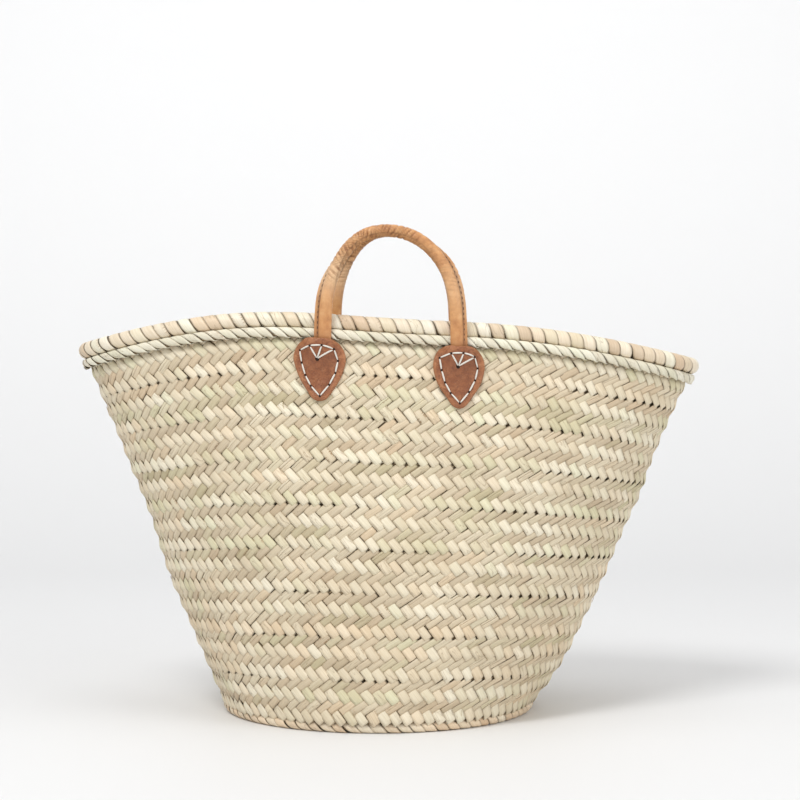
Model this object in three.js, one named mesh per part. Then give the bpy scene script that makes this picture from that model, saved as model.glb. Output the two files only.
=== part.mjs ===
// Woven market basket: plaited palm-leaf strip sewn in courses on a round base,
// a wrapped rim roll with a twisted cord under it, and two leather-covered rope handles.
// Millimetres, +Z up, +X along the mouth, origin on the ground under the middle of the rim.

import * as THREE from 'three';
import { mergeVertices } from 'three/addons/utils/BufferGeometryUtils.js';

// ---------------------------------------------------------------- driving dimensions

const GAP = 0.3; // clearance between touching pieces
const RING_STEPS = 36; // facets round the basket
const LATHE_REACH = 100; // any radius at which a ring is turned before it is laid on the wall

// Basket wall, measured on the middle of its thickness.
const BASE_RADIUS = 133;
const WALL_FOOT_Z = 8.5; // where the wall starts above the ground
const RIM_HALF_LENGTH = 260;
const RIM_HALF_DEPTH = 96;
const WALL_LENGTH = 330; // up the slope, from base to rim
const WALL_THICKNESS = 3.4;
const END_BELLY = 60; // how strongly the two ends bow out, mostly low down
const SIDE_BELLY = 56; // how far the front and back bow out
const LEAN = 9; // how far the rim has shifted towards +X over the base
const LEAN_BELLY = 30; // how much more the lower wall leans than a straight slope

// The rim is an arch: high over the handles, low at both ends, lower at +X.
const WALL_TOP_Z = 335.5;
const RIM_TILT = 6.4;
const RIM_ARCH = 36;
const RIM_WAVE = 3;
const RIM_DIP = 7.8; // how far the rim sinks between the handles
const RIM_DIP_WIDTH = 0.38; // as a share of half the mouth's length
const REAR_DROP = 4;

// Plaited strip: nine courses up the wall, four on the base.
const COURSES = 9;
const COURSE_HEIGHT = WALL_LENGTH / COURSES;
const COURSE_SWELL = 0.8; // how far a course stands proud at its middle
const LACE_RADIUS = 0.9;
const LACE_SIDES = 4;
const BASE_BOTTOM_Z = 7.1;
const BASE_THICKNESS = 3.2;
const BASE_COURSE_RADII = [0, 26, 64, 102, 130.5];

// Foot ring under the edge of the base.
const FOOT_RADIUS = 128.6;
const FOOT_HALF_HEIGHT = 3.4;
const FOOT_SIDES = 8;

// Rim roll: a bundle of leaf inside a wrapping that closes over the top of the wall.
const ROLL_RADIUS = 7.75;
const WRAP_THICKNESS = 1.2;
const FACET_ALLOWANCE = 0.35; // flat facets cut inside the true round
const CORE_RADIUS = ROLL_RADIUS - WRAP_THICKNESS - GAP - FACET_ALLOWANCE;
const ROLL_RISE = CORE_RADIUS + GAP;
const ROLL_HEIGHT = WALL_LENGTH + ROLL_RISE;
const ROLL_SIDES = 8;
const CORE_SIDES = 6;

// Twisted cord outside the wall, tight under the roll.
const CORD_HALF_HEIGHT = 4.1;
const CORD_HALF_DEPTH = 3;
const CORD_DROP = 11;
const CORD_SIDES = 6;
const CORD_HEIGHT = ROLL_HEIGHT - CORD_DROP;
const CORD_OFFSET = (WALL_THICKNESS + COURSE_SWELL) / 2 + GAP + CORD_HALF_DEPTH;

// Handles: rope cores in sewn leather covers, standing outside the rim.
const HANDLE_HALF_SPAN = 54.5;
const HANDLE_SHOULDER = 0.88; // below 1, the arch is fuller than an oval
const FRONT_HANDLE_RISE = 75.5;
const REAR_HANDLE_RISE = 80;
const HANDLE_ARCH_BASE_Z = 338;
const FRONT_HANDLE_X = 2;
const REAR_HANDLE_X = 5;
const HANDLE_LEAN = -3.5; // how far the top of the arch has shifted along X
const HANDLE_RADIUS = 5.3;
const LEATHER_THICKNESS = 1.6;
const ROPE_RADIUS = HANDLE_RADIUS - LEATHER_THICKNESS - 2 * GAP;
const SEAM_FLANGE = 3.8; // leather edges standing out along the seam
const HINGE_Z = 352; // height at which the leather bends
const HINGE_CLEARANCE = 3.4; // solid leather stops this far from the bend
const FLAT_HALF_DEPTH = 2; // two layers of leather where there is no rope between them
const FLAT_SHARE = 0.09; // share of the cover at each end that has no rope in it
const ROPE_SHARE = FLAT_SHARE + 0.015; // share of the cover below each end of the rope
const FLAT_SLIT = 0.3; // half the space between the two layers where there is no rope
const SEAM_TURN = 0.3; // seam from the outer side of the legs towards the basket, in radians
const SEAM_TWIST = Math.PI / 4; // how much further it turns by the top of the arch
const SEAM_END_STEPS = 2; // steps at each end without a seam thread
const HANDLE_STEPS = 22;
const HANDLE_SIDES = 10;
const ROPE_SIDES = 6;

// Leather patches over the four strap ends.
const PATCH_TOP = CORD_HEIGHT - CORD_HALF_HEIGHT - GAP;
const PATCH_SHIFT = -1.3; // patch centres from the middle of the handle
const PATCH_SPREAD = 2.7; // patch centre outside its leg's centre
const PATCH_THICKNESS = 2.2;
const PATCH_MIDDLE = 20; // below the patch's top edge
const PATCH_HOOD = 10; // how far the patch lifts over the strap end
const PATCH_STEPS = 24;
const PATCH_OUTLINE = [
  [0, 0], [11, 0.3], [18, 5], [21.3, 14], [20.5, 22], [17, 32], [11, 42], [5.5, 49.5],
  [0, 51.5],
];
const STITCH_OUTLINE = [
  [9, 5.2], [14, 10], [16, 18.5], [13.5, 28], [9, 37.5], [0, 46],
];
const STITCH_HOLE = [1.4, 17];
const STRAP_HALF_WIDTH = 5.5;
const THREAD_RADIUS = 0.6;
const THREAD_SIDES = 4;
const THREAD_TENSION = 0.3; // how roundly a thread turns its corners
const STITCHING_STEPS = 36;
const STITCHING_CLEARANCE = 0.4; // room for the patch's flat facets under its stitching

// Strap ends under the patches: below the patch's top edge, outside the wall, half depth.
const STRAP_HOLDS = [
  [24, 1, 0.8], [16, 2, 1], [6, 5, 1.2],
];
const STRAP_SIDES = 8;
const STRAP_STEPS = 10;

// Where the patch lifts over the strap end: full inside the first number, flat from the second.
const HOOD_ACROSS = [8, 19];
const HOOD_BELOW = [6, 34];

// Rings of a patch, as shares of the way from its middle to its edge.
const PATCH_RINGS = [0, 0.35, 0.7, 1];

// ---------------------------------------------------------------- materials

const PALM = { color: 0xe0d2b0, roughness: 0.72, metalness: 0 };
const GREEN_PALM = { color: 0xd3d2b2, roughness: 0.7, metalness: 0 };
const ROLL_PALM = { color: 0xe6d3b3, roughness: 0.66, metalness: 0 };
const FIBRE = { color: 0xa58d63, roughness: 0.85, metalness: 0 };
const TAN_LEATHER = { color: 0xc68642, roughness: 0.48, metalness: 0 };
const RED_LEATHER = { color: 0xa0603a, roughness: 0.52, metalness: 0 };
const WHITE_THREAD = { color: 0xefe6d6, roughness: 0.8, metalness: 0 };
const BROWN_THREAD = { color: 0x5a321c, roughness: 0.8, metalness: 0 };

const basket = new THREE.Group();

// ---------------------------------------------------------------- helpers

function signedVolume(geometry) {
  const corners = geometry.getAttribute('position');
  const order = geometry.getIndex();
  const a = new THREE.Vector3();
  const b = new THREE.Vector3();
  const c = new THREE.Vector3();
  let volume = 0;
  for (let i = 0; i < order.count; i += 3) {
    a.fromBufferAttribute(corners, order.getX(i));
    b.fromBufferAttribute(corners, order.getX(i + 1));
    c.fromBufferAttribute(corners, order.getX(i + 2));
    volume += a.dot(b.cross(c)) / 6;
  }
  return volume;
}

function turnInsideOut(geometry) {
  const order = geometry.getIndex();
  for (let i = 0; i < order.count; i += 3) {
    const second = order.getX(i + 1);
    order.setX(i + 1, order.getX(i + 2));
    order.setX(i + 2, second);
  }
}

// Moves every vertex of a plain geometry to its place on the basket and closes the mesh.
function shape(geometry, place) {
  const corners = geometry.getAttribute('position');
  const corner = new THREE.Vector3();
  for (let i = 0; i < corners.count; i += 1) {
    corner.fromBufferAttribute(corners, i);
    const placed = place(corner);
    corners.setXYZ(i, placed.x, placed.y, placed.z);
  }
  geometry.deleteAttribute('uv');
  geometry.deleteAttribute('normal');
  const closed = mergeVertices(geometry, 0.001);
  if (signedVolume(closed) < 0) {
    turnInsideOut(closed);
  }
  closed.computeVertexNormals();
  return closed;
}

function add(name, geometry, look) {
  const piece = new THREE.Mesh(geometry, new THREE.MeshStandardMaterial(look));
  piece.name = name;
  basket.add(piece);
}

function smooth(low, high, value) {
  return THREE.MathUtils.smoothstep(value, low, high);
}

// Points of an oval in the plane of a ring's section: across the wall, and up it.
function ovalSection(offset, height, halfDepth, halfHeight, sides) {
  const points = [];
  for (let i = 0; i < sides; i += 1) {
    const angle = ((i + 0.5) * 2 * Math.PI) / sides;
    points.push([offset + halfDepth * Math.sin(angle), height - halfHeight * Math.cos(angle)]);
  }
  return points;
}

// ---------------------------------------------------------------- wall shape

function wallTopZ(theta) {
  const along = Math.cos(theta);
  const behind = Math.max(0, Math.sin(theta));
  const dip = RIM_DIP * Math.exp(-((along / RIM_DIP_WIDTH) ** 2));
  return WALL_TOP_Z - RIM_TILT * along - RIM_ARCH * along * along
    - RIM_WAVE * Math.sin(Math.PI * along) - dip - REAR_DROP * behind * behind;
}

function wallCentreX(height) {
  const rise = height / WALL_LENGTH;
  const straight = (LEAN * (height - ROLL_HEIGHT)) / WALL_LENGTH;
  return straight + LEAN_BELLY * rise * (1 - rise) ** 2;
}

function wallHalfLength(height) {
  const rise = height / WALL_LENGTH;
  const belly = END_BELLY * rise * (1 - rise) ** 3;
  return BASE_RADIUS + (RIM_HALF_LENGTH - BASE_RADIUS) * rise + belly;
}

function wallHalfDepth(height) {
  const rise = height / WALL_LENGTH;
  return BASE_RADIUS + (RIM_HALF_DEPTH - BASE_RADIUS) * rise + SIDE_BELLY * rise * (1 - rise);
}

function wallMiddle(theta, height) {
  const rise = height / WALL_LENGTH;
  return new THREE.Vector3(
    wallCentreX(height) + wallHalfLength(height) * Math.cos(theta),
    wallHalfDepth(height) * Math.sin(theta),
    WALL_FOOT_Z + (wallTopZ(theta) - WALL_FOOT_Z) * rise,
  );
}

// A point on the wall: angle round the basket, height up the slope, distance outwards.
function wallPoint(theta, height, offset) {
  const turn = 0.001; // small enough to measure the slope of the wall
  const along = wallMiddle(theta + turn, height).sub(wallMiddle(theta - turn, height));
  const up = wallMiddle(theta, height + 1).sub(wallMiddle(theta, height - 1));
  const outward = along.cross(up).normalize();
  return wallMiddle(theta, height).addScaledVector(outward, offset);
}

// The same, by x, on the front wall (side -1) or the back wall (side 1).
function wallPointAtX(x, height, offset, side) {
  const along = (x - wallCentreX(height)) / wallHalfLength(height);
  return wallPoint(side * Math.acos(along), height, offset);
}

// A closed ring round the wall, from its section in [offset, height] pairs.
function wallRing(section) {
  const profile = section.map(([offset, height]) => (
    new THREE.Vector2(LATHE_REACH + offset, height)
  ));
  profile.push(profile[0].clone());
  return shape(new THREE.LatheGeometry(profile, RING_STEPS), (corner) => {
    const offset = Math.hypot(corner.x, corner.z) - LATHE_REACH;
    return wallPoint(Math.atan2(corner.x, corner.z), corner.y, offset);
  });
}

// A flat or round ring on the base, from its section in [radius, z] pairs.
function baseRing(section, closed) {
  const profile = section.map(([radius, z]) => new THREE.Vector2(radius, z));
  if (closed) {
    profile.push(profile[0].clone());
  }
  const centreX = wallCentreX(0);
  return shape(new THREE.LatheGeometry(profile, RING_STEPS), (corner) => (
    new THREE.Vector3(corner.z + centreX, corner.x, corner.y)
  ));
}

// ---------------------------------------------------------------- base and wall

function buildBase() {
  const top = BASE_BOTTOM_Z + BASE_THICKNESS;
  const laceZ = BASE_BOTTOM_Z + BASE_THICKNESS / 2;
  const seam = LACE_RADIUS + GAP;
  for (let i = 1; i < BASE_COURSE_RADII.length; i += 1) {
    const isLast = i === BASE_COURSE_RADII.length - 1;
    const inner = i === 1 ? 0 : BASE_COURSE_RADII[i - 1] + seam;
    const outer = isLast ? BASE_COURSE_RADII[i] : BASE_COURSE_RADII[i] - seam;
    const section = [[inner, BASE_BOTTOM_Z], [outer, BASE_BOTTOM_Z], [outer, top], [inner, top]];
    add(`base_course_${i}`, baseRing(section, i > 1), PALM);
    if (!isLast) {
      const lace = ovalSection(BASE_COURSE_RADII[i], laceZ, LACE_RADIUS, LACE_RADIUS, LACE_SIDES);
      add(`base_lacing_${i}`, baseRing(lace, true), FIBRE);
    }
  }
  const toFlats = Math.cos(Math.PI / FOOT_SIDES);
  const foot = ovalSection(
    FOOT_RADIUS, FOOT_HALF_HEIGHT, FOOT_HALF_HEIGHT, FOOT_HALF_HEIGHT / toFlats, FOOT_SIDES,
  );
  add('foot_ring', baseRing(foot, true), ROLL_PALM);
}

function buildWall() {
  const half = WALL_THICKNESS / 2;
  const seam = LACE_RADIUS + GAP;
  for (let i = 1; i <= COURSES; i += 1) {
    const low = (i - 1) * COURSE_HEIGHT + seam;
    const high = i === COURSES ? WALL_LENGTH : i * COURSE_HEIGHT - seam;
    const section = [
      [-half, low], [half, low], [half + COURSE_SWELL, (low + high) / 2], [half, high],
      [-half, high],
    ];
    add(`wall_course_${i}`, wallRing(section), PALM);
    if (i < COURSES) {
      const lace = ovalSection(0, i * COURSE_HEIGHT, LACE_RADIUS, LACE_RADIUS, LACE_SIDES);
      add(`wall_lacing_${i}`, wallRing(lace), FIBRE);
    }
  }
}

// ---------------------------------------------------------------- rim

function rollWrapSection() {
  const inner = ROLL_RADIUS - WRAP_THICKNESS;
  const slit = Math.asin((WALL_THICKNESS / 2 + GAP) / inner);
  const outside = [];
  const inside = [];
  for (let i = 0; i <= ROLL_SIDES; i += 1) {
    const angle = slit + ((2 * Math.PI - 2 * slit) * i) / ROLL_SIDES;
    const across = Math.sin(angle);
    const up = -Math.cos(angle);
    outside.push([ROLL_RADIUS * across, ROLL_HEIGHT + ROLL_RADIUS * up]);
    inside.unshift([inner * across, ROLL_HEIGHT + inner * up]);
  }
  return outside.concat(inside);
}

function buildRim() {
  const core = ovalSection(0, ROLL_HEIGHT, CORE_RADIUS, CORE_RADIUS, CORE_SIDES);
  add('rim_core', wallRing(core), FIBRE);
  add('rim_wrap', wallRing(rollWrapSection()), ROLL_PALM);
  const cord = ovalSection(CORD_OFFSET, CORD_HEIGHT, CORD_HALF_DEPTH, CORD_HALF_HEIGHT, CORD_SIDES);
  add('rim_cord', wallRing(cord), GREEN_PALM);
}

// ---------------------------------------------------------------- handles

// The plane of a handle: both legs just outside the cord under the rim.
function handleY(centreX, side) {
  const depths = [-HANDLE_HALF_SPAN, HANDLE_HALF_SPAN].map((leg) => (
    Math.abs(wallPointAtX(centreX + leg, CORD_HEIGHT, CORD_OFFSET + CORD_HALF_DEPTH, side).y)
  ));
  return side * (Math.max(...depths) + 1.5 * GAP + FLAT_HALF_DEPTH);
}

function handlePoint(centreX, y, rise, turn) {
  const across = Math.sign(Math.cos(turn)) * Math.abs(Math.cos(turn)) ** HANDLE_SHOULDER;
  const lean = HANDLE_LEAN * Math.sin(turn) ** 4;
  return new THREE.Vector3(
    centreX - HANDLE_HALF_SPAN * across + lean,
    y,
    HANDLE_ARCH_BASE_Z + rise * Math.sin(turn),
  );
}

function handleOutward(rise, turn) {
  const across = -Math.cos(turn) / HANDLE_HALF_SPAN;
  const up = Math.sin(turn) / rise;
  return new THREE.Vector3(across, 0, up).normalize();
}

function buildHandle(name, centreX, side, rise) {
  const y = handleY(centreX, side);
  const lowest = HINGE_Z + HINGE_CLEARANCE - HANDLE_ARCH_BASE_Z;
  const start = Math.asin(lowest / rise);
  const sweep = Math.PI - 2 * start;
  const inwards = new THREE.Vector3(0, -side, 0);

  // How much the tube is flattened: from two layers of leather at the ends to round.
  function fullness(progress) {
    return smooth(0, FLAT_SHARE, Math.min(progress, 1 - progress));
  }

  // Place a point of a straight tube along the arch; angle 0 faces out of the arch.
  function alongArch(progress, angle, radius, flatRadius = radius) {
    const turn = start + sweep * progress;
    const depth = THREE.MathUtils.lerp(flatRadius, radius, fullness(progress));
    return handlePoint(centreX, y, rise, turn)
      .addScaledVector(handleOutward(rise, turn), radius * Math.cos(angle))
      .addScaledVector(inwards, depth * Math.sin(angle));
  }

  // The seam lies on the outer side of the legs and turns inwards over the top.
  function seamAngle(progress) {
    return SEAM_TURN + SEAM_TWIST * Math.sin(Math.PI * progress) ** 2;
  }

  const inner = HANDLE_RADIUS - LEATHER_THICKNESS;
  const sideAngle = (2 * Math.PI) / HANDLE_SIDES;
  const profile = [];
  for (let i = 0; i <= HANDLE_STEPS; i += 1) {
    profile.push(new THREE.Vector2(HANDLE_RADIUS, i / HANDLE_STEPS));
  }
  for (let i = HANDLE_STEPS; i >= 0; i -= 1) {
    profile.push(new THREE.Vector2(inner, i / HANDLE_STEPS));
  }
  profile.push(profile[0].clone());
  const cover = shape(new THREE.LatheGeometry(profile, HANDLE_SIDES), (corner) => {
    const angle = Math.atan2(corner.x, corner.z);
    const radius = Math.hypot(corner.x, corner.z);
    const isOuter = radius > (inner + HANDLE_RADIUS) / 2;
    const isSeam = Math.abs(angle) < sideAngle / 2;
    const reach = isOuter && isSeam ? radius + SEAM_FLANGE : radius;
    const flat = isOuter ? FLAT_HALF_DEPTH : FLAT_SLIT;
    return alongArch(corner.y, angle + seamAngle(corner.y), reach, flat);
  });
  add(`${name}_cover`, cover, TAN_LEATHER);

  const rope = new THREE.CylinderGeometry(ROPE_RADIUS, ROPE_RADIUS, 1, ROPE_SIDES, HANDLE_STEPS);
  add(`${name}_rope`, shape(rope, (corner) => {
    const progress = ROPE_SHARE + (1 - 2 * ROPE_SHARE) * (corner.y + 0.5);
    return alongArch(progress, Math.atan2(corner.x, corner.z), Math.hypot(corner.x, corner.z));
  }), FIBRE);

  // Thread along the flank of the flange, half-way out.
  const tip = new THREE.Vector2(HANDLE_RADIUS + SEAM_FLANGE, 0);
  const root = new THREE.Vector2(
    HANDLE_RADIUS * Math.cos(sideAngle), -HANDLE_RADIUS * Math.sin(sideAngle),
  );
  const flank = root.clone().sub(tip).normalize();
  const clear = new THREE.Vector2(-flank.y, flank.x).multiplyScalar(2 * GAP + THREAD_RADIUS);
  const seat = tip.clone().add(root).multiplyScalar(0.5).add(clear);
  const seatAngle = Math.atan2(seat.y, seat.x);
  const seamPoints = [];
  for (let i = SEAM_END_STEPS; i <= HANDLE_STEPS - SEAM_END_STEPS; i += 1) {
    const progress = i / HANDLE_STEPS;
    seamPoints.push(alongArch(progress, seatAngle + seamAngle(progress), seat.length()));
  }
  add(`${name}_seam_thread`, threadAlong(seamPoints, HANDLE_STEPS), BROWN_THREAD);
}

// A thread that follows a line of points, cut into a number of steps.
function threadAlong(points, steps) {
  const section = new THREE.Shape();
  for (let i = 0; i < THREAD_SIDES; i += 1) {
    const angle = (i * 2 * Math.PI) / THREAD_SIDES;
    const x = THREAD_RADIUS * Math.cos(angle);
    const y = THREAD_RADIUS * Math.sin(angle);
    if (i === 0) {
      section.moveTo(x, y);
    } else {
      section.lineTo(x, y);
    }
  }
  const path = new THREE.CatmullRomCurve3(points, false, 'catmullrom', THREAD_TENSION);
  return shape(
    new THREE.ExtrudeGeometry(section, { steps, extrudePath: path }),
    (corner) => corner,
  );
}

// ---------------------------------------------------------------- patches and strap ends

// How far the patch lifts off the wall at a place across it and below its top edge.
function patchLift(across, below) {
  const sideways = 1 - smooth(HOOD_ACROSS[0], HOOD_ACROSS[1], Math.abs(across));
  const downwards = 1 - smooth(HOOD_BELOW[0], HOOD_BELOW[1], below);
  return PATCH_HOOD * sideways * downwards;
}

function buildStrapEnd(name, legX, y, side) {
  const wallGap = WALL_THICKNESS / 2 + GAP;
  const top = HINGE_Z - HINGE_CLEARANCE;
  const cordZ = wallPointAtX(legX, CORD_HEIGHT, 0, side).z;
  const held = STRAP_HOLDS.map(([below, outside, half]) => (
    { at: wallPointAtX(legX, PATCH_TOP - below, wallGap + outside, side), half }
  ));
  const places = [
    ...held,
    { at: new THREE.Vector3(legX, y, cordZ), half: FLAT_HALF_DEPTH },
    { at: new THREE.Vector3(legX, y, (cordZ + top) / 2), half: FLAT_HALF_DEPTH },
    { at: new THREE.Vector3(legX, y, top), half: FLAT_HALF_DEPTH },
  ];
  const path = new THREE.CatmullRomCurve3(places.map((place) => place.at));
  const halves = new THREE.CatmullRomCurve3(
    places.map((place) => new THREE.Vector3(place.half, 0, 0)),
  );
  const tube = new THREE.CylinderGeometry(1, 1, 1, STRAP_SIDES, STRAP_STEPS);
  add(`${name}_strap_end`, shape(tube, (corner) => {
    const progress = THREE.MathUtils.clamp(corner.y + 0.5, 0, 1);
    const at = path.getPoint(progress);
    const half = halves.getPoint(progress).x;
    const tangent = path.getTangent(progress);
    const through = new THREE.Vector3(0, tangent.z, -tangent.y).normalize();
    return at
      .addScaledVector(through, half * corner.z)
      .add(new THREE.Vector3(STRAP_HALF_WIDTH * corner.x, 0, 0));
  }), TAN_LEATHER);
}

function buildPatch(name, centreX, side) {
  const right = PATCH_OUTLINE.slice(1, -1);
  const left = right.map(([across, below]) => [-across, below]).reverse();
  const loop = [PATCH_OUTLINE[0], ...right, PATCH_OUTLINE[PATCH_OUTLINE.length - 1], ...left];
  const edge = new THREE.CatmullRomCurve3(
    loop.map(([across, below]) => new THREE.Vector3(across, below, 0)), true, 'catmullrom',
  );
  const onWall = WALL_THICKNESS / 2 + COURSE_SWELL + GAP;

  function onPatch(across, below, height) {
    const offset = onWall + patchLift(across, below) + height;
    return wallPointAtX(centreX + across, PATCH_TOP - below, offset, side);
  }

  const back = PATCH_RINGS.map((reach) => new THREE.Vector2(reach, 0));
  const front = PATCH_RINGS.map((reach) => new THREE.Vector2(reach, 1)).reverse();
  const profile = [...back, ...front];
  add(`${name}_patch`, shape(new THREE.LatheGeometry(profile, PATCH_STEPS), (corner) => {
    const turn = Math.atan2(corner.x, corner.z) / (2 * Math.PI);
    const rim = edge.getPoint((turn + 1) % 1);
    const reach = Math.hypot(corner.x, corner.z);
    const below = PATCH_MIDDLE + (rim.y - PATCH_MIDDLE) * reach;
    return onPatch(rim.x * reach, below, corner.y * PATCH_THICKNESS);
  }), RED_LEATHER);

  const height = PATCH_THICKNESS + GAP + THREAD_RADIUS + STITCHING_CLEARANCE;
  const down = STITCH_OUTLINE.slice(0, -1);
  const up = down.map(([across, below]) => [-across, below]).reverse();
  const stitches = [
    STITCH_HOLE, ...down, STITCH_OUTLINE[STITCH_OUTLINE.length - 1], ...up,
    [-STITCH_HOLE[0], STITCH_HOLE[1]],
  ];
  const points = stitches.map(([across, below]) => onPatch(across, below, height));
  add(`${name}_stitching`, threadAlong(points, STITCHING_STEPS), WHITE_THREAD);
}

function buildAttachments(name, centreX, side) {
  const legs = [['left', -1], ['right', 1]];
  const y = handleY(centreX, side);
  for (const [label, leg] of legs) {
    const legX = centreX + leg * HANDLE_HALF_SPAN;
    buildStrapEnd(`${name}_${label}`, legX, y, side);
    buildPatch(`${name}_${label}`, legX + leg * PATCH_SPREAD + PATCH_SHIFT, side);
  }
}

// ---------------------------------------------------------------- assembly

buildBase();
buildWall();
buildRim();
buildHandle('front_handle', FRONT_HANDLE_X, -1, FRONT_HANDLE_RISE);
buildHandle('rear_handle', REAR_HANDLE_X, 1, REAR_HANDLE_RISE);
buildAttachments('front', FRONT_HANDLE_X, -1);
buildAttachments('rear', REAR_HANDLE_X, 1);

export default basket;
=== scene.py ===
import math

import bpy
import numpy as np
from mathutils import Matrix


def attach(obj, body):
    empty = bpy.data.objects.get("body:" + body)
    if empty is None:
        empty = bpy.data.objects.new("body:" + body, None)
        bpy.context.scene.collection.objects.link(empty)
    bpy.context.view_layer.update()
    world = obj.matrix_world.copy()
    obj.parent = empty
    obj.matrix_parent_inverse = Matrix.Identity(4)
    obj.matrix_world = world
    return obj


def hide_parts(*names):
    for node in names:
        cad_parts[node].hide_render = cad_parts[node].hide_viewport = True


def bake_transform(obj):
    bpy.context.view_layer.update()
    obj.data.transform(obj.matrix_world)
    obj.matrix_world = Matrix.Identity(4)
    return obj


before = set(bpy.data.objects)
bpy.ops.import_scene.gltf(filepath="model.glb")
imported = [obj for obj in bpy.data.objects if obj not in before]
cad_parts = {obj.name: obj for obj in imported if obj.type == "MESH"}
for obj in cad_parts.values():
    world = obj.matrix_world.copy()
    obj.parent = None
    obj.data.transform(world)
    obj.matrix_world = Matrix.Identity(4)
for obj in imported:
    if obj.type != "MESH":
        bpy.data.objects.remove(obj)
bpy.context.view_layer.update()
rng = np.random.default_rng(7)

# ---------------- driving sizes, in metres

# The wall's middle surface, as the frame has it.
BASE_RADIUS = 0.133
WALL_FOOT = 0.0085
RIM_HALF_LENGTH = 0.260
RIM_HALF_DEPTH = 0.096
WALL_LENGTH = 0.330
WALL_HALF = 0.0017
END_BELLY = 0.060
SIDE_BELLY = 0.056
LEAN = 0.009
LEAN_BELLY = 0.030
WALL_TOP = 0.3355
RIM_TILT = 0.0064
RIM_ARCH = 0.036
RIM_DIP = 0.0078
RIM_DIP_WIDTH = 0.38
RIM_WAVE = 0.003
REAR_DROP = 0.004

# The plaited strip: its courses, the rows in a course, and one leaf step round the basket.
COURSES = 9
COURSE_HEIGHT = WALL_LENGTH / COURSES
ROWS = 4
ROW_HEIGHT = COURSE_HEIGHT / ROWS
LEAF_PITCH = 0.0097
SKEW = 0.20
SEAM = 0.0012
# A dark sheet of painted shade lies between the outer and inner floats, seen through the slits.
SHADE_SHEET_HALF = 0.0009
OUTER_SWELL = 0.0015
INNER_SWELL = 0.0006

# The base: the radii of its rings, and its middle height.
BASE_RINGS = [0, 0.026, 0.064, 0.102, 0.1305]
BASE_MIDDLE = 0.0087
BASE_HALF = 0.0016
BASE_SWELL = 0.0003
# The base has the same dark sheet of painted shade between its floats.
BASE_SHADE_SHEET_HALF = 0.0008
BASE_EYE = 0.0005

# The rim roll, the cord under it and the foot ring: sizes, and one leaf step along each.
ROLL_RADIUS = 0.00775
ROLL_HEIGHT = WALL_LENGTH + 0.0062
ROLL_PITCH = 0.0112
CORD_HEIGHT = ROLL_HEIGHT - 0.011
CORD_OUT = 0.0054
CORD_HALF_DEPTH = 0.0030
CORD_HALF_HEIGHT = 0.0041
CORD_PITCH = 0.0104
FOOT_RADIUS = 0.1298
FOOT_HALF_DEPTH = 0.0056
FOOT_HALF_HEIGHT = 0.0049
FOOT_PITCH = 0.0104

# The handles: half ovals outside the rim, and the leather they are sewn from.
HANDLE_HALF_SPAN = 0.0545
HANDLE_SHOULDER = 0.88
HANDLE_LEAN = -0.0035
HANDLE_ARCH_BASE = 0.338
HANDLE_RADIUS = 0.0053
HINGE_HEIGHT = 0.352
STRAP_SEAT = [(0.026, 0.0036), (0.016, 0.0046), (0.007, 0.0068)]
FLAT_SHARE = 0.38
FLANGE = 0.0038
FLANGE_HALF = 0.0012
FOLD_DEPTH = 0.00085
SEAM_PITCH = 0.0042
FRONT_HANDLE = {"x": 0.002, "y": -0.10587, "side": -1, "rise": 0.0755}
REAR_HANDLE = {"x": 0.005, "y": 0.10609, "side": 1, "rise": 0.080}

# The patches over the strap ends. Their shapes are across and below the top edge, in mm.
PATCH_TOP = 0.3208
PATCH_SHIFT = -0.0013
PATCH_SPREAD = 0.0027
PATCH_THICKNESS = 0.0024
PATCH_SEAT = 0.0033
PATCH_HOOD = 0.0092
PATCH_CURL = 0.0012
PATCH_OUTLINE = [(0, 0), (11, 0.3), (18, 5), (21.3, 14), (20.5, 22), (17, 32), (11, 42),
                 (5.5, 49.5), (0, 51.5)]
PATCH_MIDDLE = 20
STITCH_TURNS = [(-16.2, 10.0), (-7.3, 6.8), (2.5, 6.0), (12.2, 8.3), (15.2, 17.4),
                (13.0, 27.6), (8.0, 37.7), (0.4, 47.5), (-7.0, 39.2), (-11.6, 30.5),
                (-14.5, 20.3)]
STITCH_EYE = (-1.4, 17.0)
FAN_STITCHES = [(-7.0, 7.4), (2.6, 6.6), (11.8, 9.0)]

LOOSE_FIBRES = 110


# ---------------- the wall's shape

def wall_top(turn):
    along = np.cos(turn)
    behind = np.maximum(0, np.sin(turn))
    drop = (RIM_TILT * along + RIM_ARCH * along ** 2 + RIM_WAVE * np.sin(np.pi * along)
            + RIM_DIP * np.exp(-(along / RIM_DIP_WIDTH) ** 2))
    return WALL_TOP - drop - REAR_DROP * behind ** 2


def centre_x(height):
    rise = height / WALL_LENGTH
    return LEAN * (height - ROLL_HEIGHT) / WALL_LENGTH + LEAN_BELLY * rise * (1 - rise) ** 2


def half_length(height):
    rise = height / WALL_LENGTH
    belly = END_BELLY * rise * (1 - rise) ** 3
    return BASE_RADIUS + (RIM_HALF_LENGTH - BASE_RADIUS) * rise + belly


def wall_middle(turn, height):
    rise = height / WALL_LENGTH
    belly = SIDE_BELLY * rise * (1 - rise)
    x = centre_x(height) + half_length(height) * np.cos(turn)
    y = (BASE_RADIUS + (RIM_HALF_DEPTH - BASE_RADIUS) * rise + belly) * np.sin(turn)
    z = WALL_FOOT + (wall_top(turn) - WALL_FOOT) * rise
    return np.stack([x, y, z], axis=-1)


def on_wall(turn, height, out):
    """Points at an angle round the basket, a height up the slope and a distance outwards."""
    small = 1e-4
    along = wall_middle(turn + small, height) - wall_middle(turn - small, height)
    up = wall_middle(turn, height + small) - wall_middle(turn, height - small)
    outward = np.cross(along, up)
    outward /= np.linalg.norm(outward, axis=-1, keepdims=True)
    return wall_middle(turn, height) + outward * np.asarray(out)[..., None]


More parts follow.
